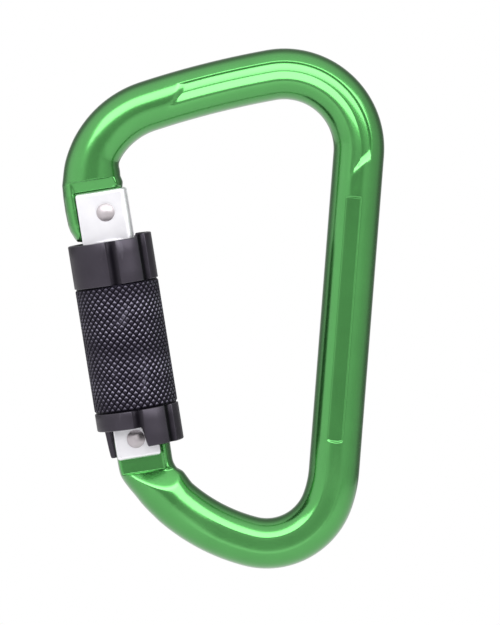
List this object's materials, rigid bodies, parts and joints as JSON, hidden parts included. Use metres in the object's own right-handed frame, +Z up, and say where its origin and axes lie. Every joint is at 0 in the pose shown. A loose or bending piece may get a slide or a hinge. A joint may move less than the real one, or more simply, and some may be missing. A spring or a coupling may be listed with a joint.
{
  "type": "locking carabiner",
  "caption": "Offset-D locking carabiner: a forged aluminium rod loop with a sprung gate that opens inward and a spring-return twist sleeve that guards its latch; joins ropes, slings, anchors.",
  "frame": {"origin": "centre of curvature of the wide end's basket, on the mid-plane of the rod", "axes": "+Z up along the straight spine, which is the load line; +X from the gate towards the spine; +Y through the thickness, away from the face with the recess seen first"},
  "size_m": [0.0722, 0.0191, 0.1182],
  "materials": {
    "green_anodised": "bright anodised green",
    "clear_anodised": "satin clear anodised",
    "black_anodised": "satin black anodised",
    "pin_steel": "peened stainless",
    "spring_steel": "drawn wire",
    "bush_plastic": "moulded acetal"
  },
  "bodies": {
    "frame": {"body": "green_anodised"},
    "gate": {"gate": "clear_anodised", "hinge_rivet": "pin_steel", "latch_pin": "pin_steel", "stop_pin": "pin_steel", "gate_spring": "spring_steel", "sleeve_spring": "spring_steel"},
    "plunger": {"spring_plunger": "pin_steel"},
    "sleeve": {"lock_sleeve": "black_anodised", "grip_ring": "black_anodised", "upper_bush": "bush_plastic", "lower_bush": "bush_plastic"}
  },
  "joints": [
    {"name": "gate_hinge", "type": "hinge", "parent": "frame", "child": "gate", "pos_m": [-0.02845, 0, -0.06795], "axis": [0, 1, 0], "range_deg": [0, 23], "stiffness_Nm_per_rad": 0.8, "springref_deg": -17.76, "deforming": ["gate_spring"]},
    {"name": "sleeve_twist", "type": "hinge", "parent": "gate", "child": "sleeve", "pos_m": [-0.02743, 0, -0.06771], "axis": [-0.2321, 0, 0.9727], "range_deg": [0, 100], "stiffness_Nm_per_rad": 0.03, "springref_deg": -57.3, "deforming": ["sleeve_spring"]},
    {"name": "plunger_slide", "type": "slide", "parent": "gate", "child": "plunger", "axis": [-0.2321, 0, 0.9727], "range_m": [0, 0.00105]}
  ],
  "couplings": [
    {"joint": "plunger_slide", "follows": "gate_hinge", "m_per_rad": 0.002567}
  ]
}
